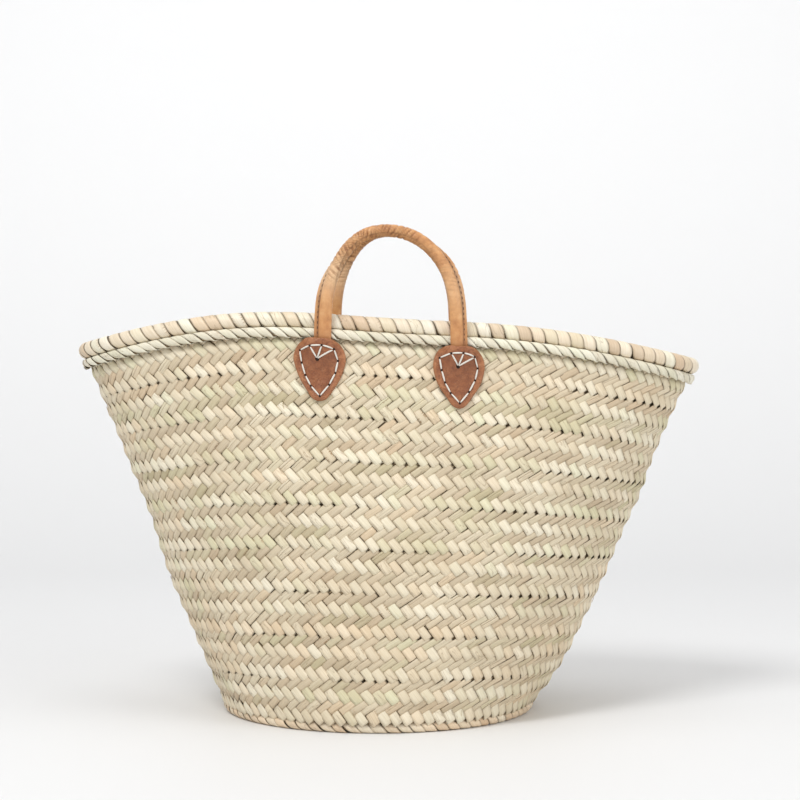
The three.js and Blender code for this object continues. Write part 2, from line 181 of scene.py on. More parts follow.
def at_x(x, height, out, side):
    """The same on the front wall (side -1) or the back wall (side 1), by x."""
    x, height = np.asarray(x, float), np.asarray(height, float)
    along = (x - centre_x(height)) / half_length(height)
    return on_wall(side * np.arccos(np.clip(along, -1, 1)), height, out)


def on_base(turn, radius, z):
    """Points on the round base, by angle, distance from its middle, and height."""
    x = centre_x(0) + radius * np.cos(turn)
    return np.stack([x, radius * np.sin(turn), np.broadcast_to(z, x.shape)], axis=-1)


def run_along(line):
    """How far along the line each of its points is."""
    return np.concatenate([[0], np.cumsum(np.linalg.norm(np.diff(line, axis=0), axis=1))])


class Girth:
    """Turns a distance round the wall at one height into an angle."""

    def __init__(self, height):
        self.turns = np.linspace(0, 2 * np.pi, 1441)
        run = run_along(wall_middle(self.turns, height))
        self.length = run[-1]
        self.shares = run / run[-1]

    def turn(self, share):
        whole = np.floor(share)
        return np.interp(share - whole, self.shares, self.turns) + 2 * np.pi * whole


def smooth(low, high, value):
    share = np.clip((np.asarray(value, float) - low) / (high - low), 0, 1)
    return share * share * (3 - 2 * share)


# ---------------- modelling helpers

def object_mode():
    bpy.ops.object.mode_set(mode="OBJECT")


def deselect():
    if bpy.context.object and bpy.context.object.mode != "OBJECT":
        object_mode()
    bpy.ops.object.select_all(action="DESELECT")


def new_circle(vertices, **place):
    deselect()
    bpy.ops.mesh.primitive_circle_add(vertices=vertices, radius=1, **place)
    return bpy.context.object


def edit_whole(piece):
    """Selects the whole piece in edit mode."""
    bpy.context.view_layer.objects.active = piece
    bpy.ops.object.mode_set(mode="EDIT")
    bpy.ops.mesh.select_all(action="SELECT")


def pick(piece, wanted):
    """Selects the piece's vertices for which wanted(co) is true, in edit mode."""
    bpy.ops.object.mode_set(mode="EDIT")
    bpy.ops.mesh.select_mode(type="VERT")
    bpy.ops.mesh.select_all(action="DESELECT")
    object_mode()
    for vertex in piece.data.vertices:
        vertex.select = bool(wanted(vertex.co))
    bpy.ops.object.mode_set(mode="EDIT")


def shift(piece, wanted, move):
    pick(piece, wanted)
    bpy.ops.transform.translate(value=move)
    object_mode()


def extrude(move):
    bpy.ops.mesh.extrude_region_move(TRANSFORM_OT_translate={"value": move})


def thicken(piece, thickness, offset):
    solid = piece.modifiers.new("thickness", "SOLIDIFY")
    solid.thickness = thickness
    solid.offset = offset
    bpy.context.view_layer.objects.active = piece
    bpy.ops.object.modifier_apply(modifier=solid.name)


def take_apart(piece):
    """The points and faces of a piece, which is then thrown away."""
    points = np.array([vertex.co for vertex in piece.data.vertices], float)
    faces = [list(face.vertices) for face in piece.data.polygons]
    bpy.data.objects.remove(piece)
    return points, faces


def leaf_pattern(long_cuts, cross_cuts, crown, tuck, thickness, spread=0.0):
    """A short length of leaf, 2 by 2 units: crowned across, and tucked down at both ends."""
    deselect()
    bpy.ops.mesh.primitive_grid_add(x_subdivisions=long_cuts, y_subdivisions=cross_cuts, size=2)
    leaf = bpy.context.object
    shift(leaf, lambda co: abs(co.y) > 0.9, (0, 0, -crown))
    shift(leaf, lambda co: abs(co.x) > 0.95, (0, 0, -tuck))
    shift(leaf, lambda co: 0.55 < abs(co.x) < 0.95, (0, 0, -tuck * 0.22))
    for end in (-1, 1):
        shift(leaf, lambda co: 0.55 < co.x * end < 0.95, (end * spread, 0, 0))
    thicken(leaf, thickness, -1)
    return take_apart(leaf)


def face_outwards(piece):
    deselect()
    piece.select_set(True)
    edit_whole(piece)
    bpy.ops.mesh.normals_make_consistent(inside=False)
    deselect()


def fit(piece, slot, *stands_for):
    """Puts a piece on the basket, in place of the plain piece if there is one."""
    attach(piece, "basket")
    if stands_for:
        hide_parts(*stands_for)


def add_object(name, data):
    made = bpy.data.objects.new(name, data)
    bpy.context.scene.collection.objects.link(made)
    return made


def build(name, points, faces, materials, slots=None, values=None, uv=None):
    """A smooth mesh object, with a material slot per face, values per point and a UV map."""
    mesh = bpy.data.meshes.new(name)
    mesh.from_pydata(np.asarray(points, float).tolist(), [], faces)
    for material in materials:
        mesh.materials.append(material)
    if slots is not None:
        mesh.polygons.foreach_set("material_index", np.asarray(slots, np.int32))
    mesh.polygons.foreach_set("use_smooth", np.full(len(mesh.polygons), True))
    for key, data in (values or {}).items():
        layer = mesh.attributes.new(key, "FLOAT", "POINT")
        layer.data.foreach_set("value", np.asarray(data, np.float32))
    if uv is not None:
        layer = mesh.uv_layers.new(name="along_leaf")
        corner = np.empty(len(mesh.loops), np.int32)
        mesh.loops.foreach_get("vertex_index", corner)
        layer.data.foreach_set("uv", np.asarray(uv, np.float32)[corner].ravel())
    mesh.update()
    return add_object(name, mesh)


class Heap:
    """Collects many small solids into one mesh."""

    def __init__(self):
        self.points, self.faces, self.slots, self.uvs = [], [], [], []
        self.values = {"tone": [], "warmth": [], "age": []}
        self.count = 0

    def add(self, points, faces, slot=0, uv=None, tone=0.5, warmth=0.5, age=0.0):
        """points is one solid (n, 3) or many of the same make (m, n, 3)."""
        points = np.asarray(points, float)
        many = points.reshape(-1, points.shape[-2], 3)
        size = many.shape[1]
        uv = np.zeros((size, 2)) if uv is None else uv
        for start in range(self.count, self.count + len(many) * size, size):
            self.faces += [[start + corner for corner in face] for face in faces]
        self.slots += [slot] * (len(faces) * len(many))
        self.points.append(many.reshape(-1, 3))
        self.uvs.append(np.broadcast_to(uv, (len(many), size, 2)).reshape(-1, 2))
        for key, value in (("tone", tone), ("warmth", warmth), ("age", age)):
            value = np.broadcast_to(np.asarray(value, float).reshape(-1, 1), (len(many), size))
            self.values[key].append(value.ravel())
        self.count += len(many) * size

    def add_shade_core(self, place, section, steps):
        """Adds a ring of painted shade, seen through the gaps between the leaves: a section
        [(across, up), ...] carried right round.

        place(turn, across, up) puts its points."""
        turns = np.linspace(0, 2 * np.pi, steps, endpoint=False)
        across, up = np.asarray(section, float).T
        turn, across = np.meshgrid(turns, across, indexing="ij")
        corners = len(section)
        faces = []
        for here in range(steps):
            start, beyond = here * corners, (here + 1) % steps * corners
            for corner in range(corners):
                after = (corner + 1) % corners
                faces.append([start + corner, start + after, beyond + after, beyond + corner])
        points = place(turn, across, np.broadcast_to(up, turn.shape))
        self.add(points.reshape(-1, 3), faces, 1)

    def finish(self, name, materials):
        values = {key: np.concatenate(parts) for key, parts in self.values.items()}
        piece = build(name, np.concatenate(self.points), self.faces, materials, self.slots,
                      values, np.concatenate(self.uvs))
        face_outwards(piece)
        return piece


def box_section(left, right, low, high):
    return [(left, low), (right, low), (right, high), (left, high)]


def oval_section(across, up, half_across, half_up):
    return [(half_across * math.sin(angle) + across, half_up * math.cos(angle) + up)
            for angle in np.linspace(0, 2 * np.pi, 8, endpoint=False)]


# ---------------- materials

GREENISH = (0.93, 0.985, 0.90)
PINKISH = (1.0, 0.92, 0.86)


def new_material(name, roughness=0.5):
    material = bpy.data.materials.new(name)
    material.use_nodes = True
    tree = material.node_tree
    tree.nodes.clear()
    out = tree.nodes.new("ShaderNodeOutputMaterial")
    shader = tree.nodes.new("ShaderNodeBsdfPrincipled")
    shader.inputs["Roughness"].default_value = roughness
    tree.links.new(shader.outputs["BSDF"], out.inputs["Surface"])
    return material, tree, shader


def node(tree, kind, settings=None, **inputs):
    """A shader node with its settings and its inputs: values, or sockets to link."""
    made = tree.nodes.new("ShaderNode" + kind)
    for key, value in (settings or {}).items():
        setattr(made, key, value)
    for key, value in inputs.items():
        place = int(key[1:]) if key[1:].isdigit() else key.replace("_", " ")
        if isinstance(value, bpy.types.NodeSocket):
            tree.links.new(value, made.inputs[place])
        else:
            made.inputs[place].default_value = value
    return made


def maths(tree, operation, first, second=0.0, clamp=False):
    made = node(tree, "Math", {"operation": operation, "use_clamp": clamp}, i0=first, i1=second)
    return made.outputs[0]


def times(tree, first, second):
    return maths(tree, "MULTIPLY", first, second)


def mask(tree, value, start, gain):
    """0 where the value is start, growing by gain and held between 0 and 1."""
    return maths(tree, "MULTIPLY", maths(tree, "SUBTRACT", value, start), gain, clamp=True)


def off_middle(tree, value):
    return maths(tree, "ABSOLUTE", maths(tree, "SUBTRACT", value, 0.5))


def thin_line(tree, value, gain):
    """1 along the line where the value is a half, falling to 0 on both sides."""
    return maths(tree, "SUBTRACT", 1.0, times(tree, off_middle(tree, value), gain), clamp=True)


def own_place(tree):
    return node(tree, "TexCoord").outputs["Object"]


def own_uv(tree):
    return node(tree, "UVMap", {"uv_map": "along_leaf"}).outputs[0]


def value_of(tree, name):
    return node(tree, "Attribute", {"attribute_name": name}).outputs["Fac"]


def noise(tree, where, scale, detail, **more):
    made = node(tree, "TexNoise", None, Vector=where, Scale=scale, Detail=detail, **more)
    return made.outputs["Fac"]


def stripes(tree, where, direction, scale, **more):
    made = node(tree, "TexWave", {"bands_direction": direction}, Vector=where, Scale=scale, **more)
    return made.outputs["Fac"]


def joined(tree, x, y, z):
    return node(tree, "CombineXYZ", None, X=x, Y=y, Z=z).outputs[0]


def ramp(tree, factor, stops):
    made = node(tree, "ValToRGB", None, Fac=factor)
    band = made.color_ramp
    while len(band.elements) < len(stops):
        band.elements.new(0.5)
    for element, (place, colour) in zip(band.elements, stops):
        element.position = place
        element.color = (*colour, 1)
    return made.outputs["Color"]


def darker(colour, share):
    return tuple(share * part for part in colour)


def blend_colours(tree, factor, first, second, kind="MIX"):
    made = node(tree, "Mix", {"data_type": "RGBA", "blend_type": kind}, i0=factor)
    for socket, value in ((6, first), (7, second)):
        if isinstance(value, bpy.types.NodeSocket):
            tree.links.new(value, made.inputs[socket])
        else:
            made.inputs[socket].default_value = (*value, 1)
    return made.outputs[2]


def stain(tree, shader, colour, *layers):
    """Colours the shader: each layer is a mask, or a point value's name, a strength, a shade."""
    for share, strength, shade in layers:
        share = value_of(tree, share) if isinstance(share, str) else share
        colour = blend_colours(tree, times(tree, share, strength), colour, shade)
    tree.links.new(colour, shader.inputs["Base Color"])


def roughen(tree, shader, value, low, high):
    made = node(tree, "MapRange", None, Value=value, To_Min=low, To_Max=high)
    tree.links.new(made.outputs["Result"], shader.inputs["Roughness"])


def relief(tree, shader, height, strength, distance):
    """A bump, laid over the one before it."""
    bump = node(tree, "Bump", None, Height=height, Strength=strength, Distance=distance)
    for link in shader.inputs["Normal"].links:
        tree.links.new(link.from_socket, bump.inputs["Normal"])
    tree.links.new(bump.outputs["Normal"], shader.inputs["Normal"])


def group_of(name, inputs, outputs):
    """An empty node group with named number sockets, and its input and output nodes."""
    group = bpy.data.node_groups.new(name, "ShaderNodeTree")
    for label, value in inputs.items():
        socket = group.interface.new_socket(label, in_out="INPUT", socket_type="NodeSocketFloat")
        socket.default_value = value
    for label in outputs:
        group.interface.new_socket(label, in_out="OUTPUT", socket_type="NodeSocketFloat")
    return group, group.nodes.new("NodeGroupInput"), group.nodes.new("NodeGroupOutput")


def send(group, out, **values):
    for label, value in values.items():
        group.links.new(value, out.inputs[label])
    return group


def make_leaf_fibre():
    """Fine fibres and splits that run along a leaf, from its own UV in leaf units."""
    group, into, out = group_of("leaf_fibre", {"Seed": 0.0, "Fineness": 14.0},
                                ["Streak", "Split", "Height"])
    parts = node(group, "SeparateXYZ", None, Vector=own_uv(group))
    along = times(group, parts.outputs[0], 0.7)
    across = times(group, parts.outputs[1], into.outputs["Fineness"])
    seed = times(group, into.outputs["Seed"], 37.0)
    fine = noise(group, joined(group, along, across, seed), 1.0, 3.0)
    wide = joined(group, times(group, along, 0.8), times(group, across, 0.16),
                  maths(group, "ADD", seed, 5.0))
    slit = thin_line(group, noise(group, wide, 1.0, 1.0), 55.0)
    chance = node(group, "TexWhiteNoise", {"noise_dimensions": "1D"}, W=seed).outputs["Value"]
    split = times(group, slit, maths(group, "GREATER_THAN", chance, 0.72))
    height = maths(group, "SUBTRACT", times(group, fine, 0.45), split)
    return send(group, out, Streak=fine, Split=split, Height=height)


def make_leaf(name, fibre, roughness, edge, *stops):
    """Dry palm leaf: a tone for each leaf, fibres along it, old splits, and darker edges, partly
    the leaf's own colour and partly painted shade in the slits between leaves.
    """
    material, tree, shader = new_material(name)
    tone, warmth, age = (value_of(tree, key) for key in ("tone", "warmth", "age"))
    grain = node(tree, "Group", {"node_tree": fibre}, Seed=tone)
    pale = colour = ramp(tree, tone, stops)
    for share, tinge in ((mask(tree, warmth, 0.42, -3.2), GREENISH),
                         (mask(tree, warmth, 0.55, 2.6), PINKISH)):
        tinged = blend_colours(tree, 1.0, pale, tinge, "MULTIPLY")
        colour = blend_colours(tree, share, colour, tinged)
    streak = ramp(tree, grain.outputs["Streak"], [(0.3, (0.84, 0.80, 0.72)), (0.62, (1, 1, 1))])
    colour = blend_colours(tree, 0.75, colour, streak, "MULTIPLY")
    parts = node(tree, "SeparateXYZ", None, Vector=own_uv(tree))
    side = off_middle(tree, parts.outputs[1])
    bars = noise(tree, joined(tree, times(tree, parts.outputs[0], 16.0),
                              times(tree, parts.outputs[1], 2.0), tone), 1.0, 1.0)
    ladder = times(tree, mask(tree, side, 0.20, 6.0), mask(tree, bars, 0.48, 9.0))
    stain(tree, shader, colour,
          # Darker leaf edges: partly the leaf's own edge colour, partly painted shade in the slits
          # between neighbouring leaves.
          (mask(tree, side, 0.40, 10.0), edge, (0.36, 0.23, 0.11)),
          (mask(tree, noise(tree, own_place(tree), 38.0, 4.0), 0.60, 3.0), 0.35,
           (0.45, 0.30, 0.15)),
          (times(tree, ladder, age), 1.0, (0.34, 0.22, 0.12)),
          (age, 0.18, (0.45, 0.32, 0.18)),
          (grain.outputs["Split"], 0.45, (0.28, 0.18, 0.09)))
    roughen(tree, shader, grain.outputs["Streak"], roughness + 0.12, roughness - 0.06)
    relief(tree, shader, grain.outputs["Height"], 0.55, 0.0004)
    return material


def make_shade(name, colour):
    """Painted shade: the dark seen through the plait's slits, and inside a needle hole."""
    material, tree, shader = new_material(name, 0.9)
    fleck = noise(tree, own_place(tree), 260.0, 2.0)
    stain(tree, shader, ramp(tree, fleck, [(0.35, darker(colour, 0.5)), (0.65, colour)]))
    relief(tree, shader, fleck, 0.4, 0.0005)
    return material


def make_cord_fibre(name, colour):
    """Rough twisted palm fibre, darker in the dips between its strands: painted shade."""
    material, tree, shader = new_material(name, 0.85)
    place = own_place(tree)
    strands = stripes(tree, place, "DIAGONAL", 420.0, Distortion=3.0)
    # Painted shade: darker where the strands dip.
    base = ramp(tree, strands, [(0.1, darker(colour, 0.55)), (0.8, colour)])
    tint = ramp(tree, noise(tree, place, 300.0, 3.0),
                [(0.35, (0.8, 0.75, 0.68)), (0.65, (1, 1, 1))])
    stain(tree, shader, blend_colours(tree, 0.8, base, tint, "MULTIPLY"))
    relief(tree, shader, strands, 0.5, 0.0004)
    return material


def make_thread(name, colour):
    """Waxed sewing thread with a fine twist, darker in the dips of the twist: painted shade."""
    material, tree, shader = new_material(name, 0.6)
    twist = stripes(tree, own_place(tree), "DIAGONAL", 900.0)
    # Painted shade: darker where the twist dips.
    stain(tree, shader, ramp(tree, twist, [(0.0, darker(colour, 0.72)), (0.6, colour)]))
    relief(tree, shader, twist, 0.3, 0.0002)
    return material


def make_hide_grain():
    """Pores, fine creases and scuffs of vegetable-tanned leather, in centimetres of its UV."""
    group, into, out = group_of("hide_grain", {"Crease": 0.5},
                                ["Mottle", "Scuff", "Crease", "Height"])
    uv = own_uv(group)
    pores = node(group, "TexVoronoi", None, Vector=uv, Scale=11.0).outputs["Distance"]
    turned = node(group, "Mapping", None, Vector=uv, Scale=(0.75, 1.05, 1.0),
                  Rotation=(0, 0, 0.9)).outputs[0]
    lines = noise(group, turned, 2.6, 5.0, Distortion=1.4)
    crease = times(group, thin_line(group, lines, 34.0), into.outputs["Crease"])
    scuff = mask(group, noise(group, uv, 5.5, 6.0, Roughness=0.75), 0.56, 6.0)
    height = maths(group, "SUBTRACT", times(group, pores, 0.35), times(group, crease, 0.8))
    return send(group, out, Mottle=noise(group, uv, 1.1, 5.0, Roughness=0.62), Scuff=scuff,
                Crease=crease, Height=height)


def fine_wrinkles(tree):
    """How deep the small slanting wrinkles of the creased part are."""
    turned = node(tree, "Mapping", None, Vector=own_uv(tree), Rotation=(0, 0, 0.75)).outputs[0]
    waves = stripes(tree, turned, "X", 1.5, Distortion=5.0, Detail=3.0, Detail_Scale=1.6)
    here = mask(tree, noise(tree, own_uv(tree), 0.9, 2.0), 0.36, 5.0)
    return times(tree, mask(tree, waves, 0.55, -2.0), times(tree, value_of(tree, "creased"), here))


def make_tan_leather(grain):
    """Smooth caramel handle leather: painted shade in its folds, in the channel by the seam and on
    its underside, a painted highlight near its shoulders, and darker towards its strap ends.
    """
    material, tree, shader = new_material("tan_leather")
    marks = node(tree, "Group", {"node_tree": grain},
                 Crease=maths(tree, "ADD", 0.25, value_of(tree, "creased")))
    base = ramp(tree, marks.outputs["Mottle"],
                [(0.30, (0.50, 0.215, 0.080)), (0.52, (0.68, 0.335, 0.130)),
                 (0.72, (0.80, 0.46, 0.215))])
    wrinkled = fine_wrinkles(tree)
    # Painted shade in the deep folds and the fine wrinkles.
    folds = maths(tree, "MAXIMUM", times(tree, wrinkled, 0.18),
                  times(tree, value_of(tree, "fold_shade"), 0.85))
    stain(tree, shader, base,
          (marks.outputs["Scuff"], 0.30, (0.84, 0.60, 0.36)),
          # Painted shade in the channel between the tube and its flange.
          ("groove_shade", 0.8, (0.12, 0.045, 0.015)),
          ("flange", 0.25, (0.50, 0.24, 0.10)),
          # Painted shade on the side of the handle that faces away from the light.
          ("under", 0.30, (0.36, 0.16, 0.06)),
          # The worn value is a painted highlight: pale near each shoulder of the arch, where the
          # light catches it.
          ("worn", 0.50, (0.90, 0.68, 0.44)),
          # Darker towards the strap ends.
          ("darker_by_strap_ends", 0.60, (0.43, 0.175, 0.065)),
          (folds, 1.0, (0.27, 0.095, 0.03)))
    roughen(tree, shader, marks.outputs["Mottle"], 0.46, 0.30)
    relief(tree, shader, marks.outputs["Height"], 0.5, 0.0005)
    relief(tree, shader, maths(tree, "SUBTRACT", 1.0, wrinkled), 0.7, 0.0007)
    return material


def make_patch_leather(grain):
    """Reddish-brown patch leather: scuffed, darker inside the stitches, paler at its cut edge,
    with painted shade in its creases and along its drawn-in stitch line.
    """
    material, tree, shader = new_material("patch_leather")
    marks = node(tree, "Group", {"node_tree": grain}, Crease=1.0)
    base = ramp(tree, marks.outputs["Mottle"],
                [(0.32, (0.205, 0.060, 0.022)), (0.52, (0.335, 0.120, 0.045)),
                 (0.68, (0.46, 0.195, 0.085))])
    stain(tree, shader, base,
          (marks.outputs["Scuff"], 0.35, (0.55, 0.30, 0.17)),
          # Painted shade in the creases.
          (marks.outputs["Crease"], 0.60, (0.17, 0.052, 0.022)),
          ("inner", 0.35, (0.25, 0.085, 0.035)),
          ("rim", 0.30, (0.52, 0.23, 0.10)),
          # Painted shade along the stitch line, where the leather is drawn in.
          ("stitch_line_shade", 0.35, (0.15, 0.05, 0.02)))
    roughen(tree, shader, marks.outputs["Scuff"], 0.46, 0.66)
    relief(tree, shader, marks.outputs["Height"], 0.6, 0.0006)
    return material


FIBRE_GRAIN = make_leaf_fibre()
HIDE_GRAIN = make_hide_grain()
PLAIT_LEAF = make_leaf("plait_leaf", FIBRE_GRAIN, 0.55, 0.42,
                       (0.0, (0.59, 0.48, 0.335)), (0.30, (0.69, 0.585, 0.425)),
                       (0.65, (0.78, 0.69, 0.52)), (1.0, (0.87, 0.80, 0.64)))
ROLL_LEAF = make_leaf("wrapping_leaf", FIBRE_GRAIN, 0.42, 0.30,
                      (0.0, (0.66, 0.51, 0.36)), (0.35, (0.80, 0.67, 0.50)),
                      (0.70, (0.88, 0.78, 0.62)), (1.0, (0.93, 0.87, 0.73)))
CORD_LEAF = make_leaf("cord_leaf", FIBRE_GRAIN, 0.48, 0.25,
                      (0.0, (0.73, 0.68, 0.54)), (0.5, (0.82, 0.77, 0.63)),
                      (1.0, (0.89, 0.85, 0.72)))
FOOT_LEAF = make_leaf("foot_leaf", FIBRE_GRAIN, 0.48, 0.42,
                      (0.0, (0.74, 0.59, 0.42)), (0.5, (0.84, 0.71, 0.53)),
                      (1.0, (0.90, 0.80, 0.63)))
# Painted shade for the plait's slits and for the dark cores under the wrappings.
PAINTED_SHADE = make_shade("painted_shade", (0.30, 0.21, 0.12))
ROPE_FIBRE = make_cord_fibre("rope_fibre", (0.42, 0.31, 0.18))
TAN_LEATHER = make_tan_leather(HIDE_GRAIN)
PATCH_LEATHER = make_patch_leather(HIDE_GRAIN)
WHITE_THREAD = make_thread("white_thread", (0.86, 0.82, 0.74))
BROWN_THREAD = make_thread("brown_thread", (0.10, 0.045, 0.02))
# Painted shade for the needle holes.
NEEDLE_HOLE_SHADE = make_shade("painted_hole_shade", (0.03, 0.012, 0.006))


# ---------------- plaited courses

FLOAT_POINTS, FLOAT_FACES = leaf_pattern(5, 3, 0.22, 0.95, 0.30, 0.20)

# The two ways a row can slant. A falling row lies a little prouder, and its pale value raises its
# tone: a painted highlight, as falling rows face the light.
FALLING = {"slant": -1, "start": 0.75, "width": 1.07, "lift": 0.00150, "pale": 0.35}
RISING = {"slant": 1, "start": 0.25, "width": 1.04, "lift": 0.00088, "pale": 0.0}

# The parts of a float, as (place across it, share of its width, rise).
WHOLE_FLOAT = (0.0, 1.0, 1.0)
SPLIT_FLOAT = [(0.32, 0.67, 1.1), (-0.66, 0.34, 0.8)]


def lay_floats(heap, columns, rows, row_height, low, place, side, swell, half):
    """Lays the leaf floats of one course: rows of slanting leaf, alternating \\ and /.

    columns is how many leaves go round, place(share, height, out) puts a point on the course,
    and side is 1 for the outside and -1 for the inside."""
    u, v, w = FLOAT_POINTS.T
    taper = 1 - 0.04 * smooth(0.5, 1.0, np.abs(u))
    uv = np.stack([u * 0.5 + 0.5, v * 0.5 + 0.5], axis=-1)
    faces = FLOAT_FACES if side > 0 else [face[::-1] for face in FLOAT_FACES]
    index = np.arange(columns)

    def vary(amount):
        return amount * rng.normal(0, 1, columns)

    for row in range(rows):
        way = RISING if row % 2 else FALLING
        drift = 0.5 + 0.5 * np.sin(index * 2 * np.pi / rng.uniform(9, 23) + rng.uniform(0, 40))
        # The pale value is a painted highlight that brightens the falling rows.
        tone = 0.35 * rng.random(columns) + 0.35 * drift + way["pale"]
        warmth = 0.5 + vary(0.15) + 0.22 * (drift - 0.5) + rng.normal(0, 0.09)
        age = np.where(rng.random(columns) < 0.035, rng.random(columns), 0)
        column = index + way["start"] + vary(0.030)
        height = row + 0.5 + vary(0.025)
        reach = 1.16 + vary(0.04)
        width = way["width"] + vary(0.045)
        tilt = vary(0.05)
        lift = way["lift"] * (1 + vary(0.14))
        parts = [(np.full(columns, True), *WHOLE_FLOAT)]
        if way is RISING:
            whole = rng.random(columns) > 0.05 + 0.25 * drift ** 3
            parts = [(whole, *WHOLE_FLOAT), *((~whole, *part) for part in SPLIT_FLOAT)]
        for chosen, aside, share, rise in parts:
            if not chosen.any():
                continue
            along = reach[chosen, None] * u
            cross = aside + width[chosen, None] * share * v * taper
            up = height[chosen, None] + (along * 0.5 - cross * 0.25) * way["slant"]
            around = (column[chosen, None] + along * (0.5 + 0.5 * tilt[chosen, None])
                      + cross * 0.25 + SKEW * (up - rows / 2))
            proud = swell * (0.5 + 0.5 * np.cos(np.pi * up))
            out = half * 0.55 + lift[chosen, None] * rise * (1 + w) + proud
            shade = tone[chosen] + (0.0 if share > 0.5 else 0.12)
            heap.add(place(around / columns, low + up * row_height, side * out), faces, 0, uv,
                     np.clip(shade, 0.02, 0.98), np.clip(warmth[chosen], 0, 1), age[chosen])


def hand_unevenness(turn, height):
    """The small waves that a hand-sewn wall has, dying out towards the rim."""
    wave = (0.0008 * np.sin(3 * turn + 40 * height) + 0.0006 * np.sin(7 * turn - 23 * height + 1)
            + 0.0005 * np.sin(13 * turn + 61 * height + 2))
    return wave * (1 - smooth(0.20, 0.28, height))


def uneven_wall(turn, out, height):
    return on_wall(turn, height, out + hand_unevenness(turn, height))


def plait_course(number):
    low = (number - 1) * COURSE_HEIGHT
    girth = Girth(low + COURSE_HEIGHT / 2)
    columns = round(girth.length / LEAF_PITCH)
    heap = Heap()
    start = rng.random()

    def place(share, height, out):
        return uneven_wall(girth.turn(share + start / columns), out, height)

    for side, swell in ((1, OUTER_SWELL), (-1, INNER_SWELL)):
        lay_floats(heap, columns, ROWS, ROW_HEIGHT, low, place, side, swell, WALL_HALF)
    heap.add_shade_core(uneven_wall, box_section(-SHADE_SHEET_HALF, SHADE_SHEET_HALF, low + SEAM,
                                           low + COURSE_HEIGHT - SEAM), 240)
    fit(heap.finish(f"wall_plait_{number}", [PLAIT_LEAF, PAINTED_SHADE]), "palm_leaf",
        f"wall_course_{number}")


def plait_base(number):
    """One ring of the plaited base, seen from under the basket and from inside it."""
    inner, outer = BASE_RINGS[number - 1], BASE_RINGS[number]
    rows = round((outer - inner) / ROW_HEIGHT)
    columns = round(np.pi * (inner + outer) / LEAF_PITCH)
    heap = Heap()

    def place(share, radius, out):
        return on_base(2 * np.pi * share, np.maximum(radius, BASE_EYE), BASE_MIDDLE - out)

    for side in (1, -1):
        lay_floats(heap, columns, rows, (outer - inner) / rows, inner, place, side,
                   BASE_SWELL, BASE_HALF)
    heap.add_shade_core(on_base, box_section(max(inner + SEAM, BASE_EYE), outer - SEAM,
                                       BASE_MIDDLE - BASE_SHADE_SHEET_HALF,
                                       BASE_MIDDLE + BASE_SHADE_SHEET_HALF), 96)
    fit(heap.finish(f"base_plait_{number}", [PLAIT_LEAF, PAINTED_SHADE]), "palm_leaf",
        f"base_course_{number}")


# ---------------- wrapped rings

WRAP_POINTS, WRAP_FACES = leaf_pattern(14, 5, 1.0, 0.0, 0.55)


def lay_wraps(heap, count, ring, start, end, slope, crown, overlap, warmth, tip=0.0,
              narrow=0.0, uneven=0.05):
    """Winds count flat leaves side by side round a ring's section.

    ring(share, angle, lift) gives a point: share of the way round, angle round the section
    from its top towards the outside, and height above it. Each leaf shifts along the ring by
    slope leaf widths for each half turn, and one edge overlaps the next leaf."""
    u, v, w = WRAP_POINTS.T
    uv = np.stack([u * 2.0, v * 0.5 + 0.5], axis=-1)
    ending = smooth(0.62, 1.0, np.abs(u))
    for index in range(count):
        wide = 1.03 + uneven * rng.normal()
        place = index + 0.5 * uneven * rng.normal()
        lean = slope * (1 + 0.06 * rng.normal())
        top = crown * (1 + 0.15 * rng.normal())
        reach = 1 + 0.02 * rng.normal()
        angle = (start + end) / 2 + (end - start) / 2 * reach * u * (1 - 0.08 * v ** 4)
        across = 0.5 * v * wide * (1 - narrow * ending)
        share = (place + across + lean * angle / np.pi) / count
        lift = top * (0.4 + w * (0.75 + 0.25 * ending)) + overlap * v * (1 - 0.3 * ending)
        low = smooth(1.75, 2.7, angle) * (1 - smooth(2.9, 3.4, angle))
        lift = lift + tip * low * smooth(-0.3, 1.0, v)
        worn = rng.random() if rng.random() < 0.16 else 0.0
        heap.add(ring(share, angle, lift), WRAP_FACES, 0, uv, rng.random(),
                 rng.uniform(*warmth), worn)


def wind_rim_roll():
    girth = Girth(WALL_LENGTH)
    heap = Heap()

    def ring(share, angle, lift):
        radius = ROLL_RADIUS - 0.0004 + lift
        return on_wall(girth.turn(share), ROLL_HEIGHT + radius * np.cos(angle),
                       radius * np.sin(angle))

    lay_wraps(heap, round(girth.length / ROLL_PITCH), ring, -2.70, 2.72, slope=0.85,
              crown=0.00048, overlap=0.00016, warmth=(0.28, 0.78), narrow=0.10)
    fit(heap.finish("rim_roll_wrapping", [ROLL_LEAF]), "wrapping_leaf", "rim_wrap")


def wind_rim_cord():
    girth = Girth(CORD_HEIGHT)
    heap = Heap()

    def ring(share, angle, lift):
        across = CORD_HALF_DEPTH - 0.0002 + lift
        up = CORD_HALF_HEIGHT - 0.0002 + lift
        return on_wall(girth.turn(share), CORD_HEIGHT + 0.0005 + up * np.cos(angle),
                       CORD_OUT + across * np.sin(angle))

    lay_wraps(heap, round(girth.length / CORD_PITCH), ring, -0.75, 3.75, slope=1.12,
              crown=0.00028, overlap=0.0002, warmth=(0.25, 0.56), tip=0.0014)
    heap.add_shade_core(lambda turn, out, height: on_wall(turn, height, out),
                  oval_section(CORD_OUT, CORD_HEIGHT, 0.0022, 0.0033), 200)
    fit(heap.finish("rim_cord_winding", [CORD_LEAF, PAINTED_SHADE]), "green_leaf", "rim_cord")


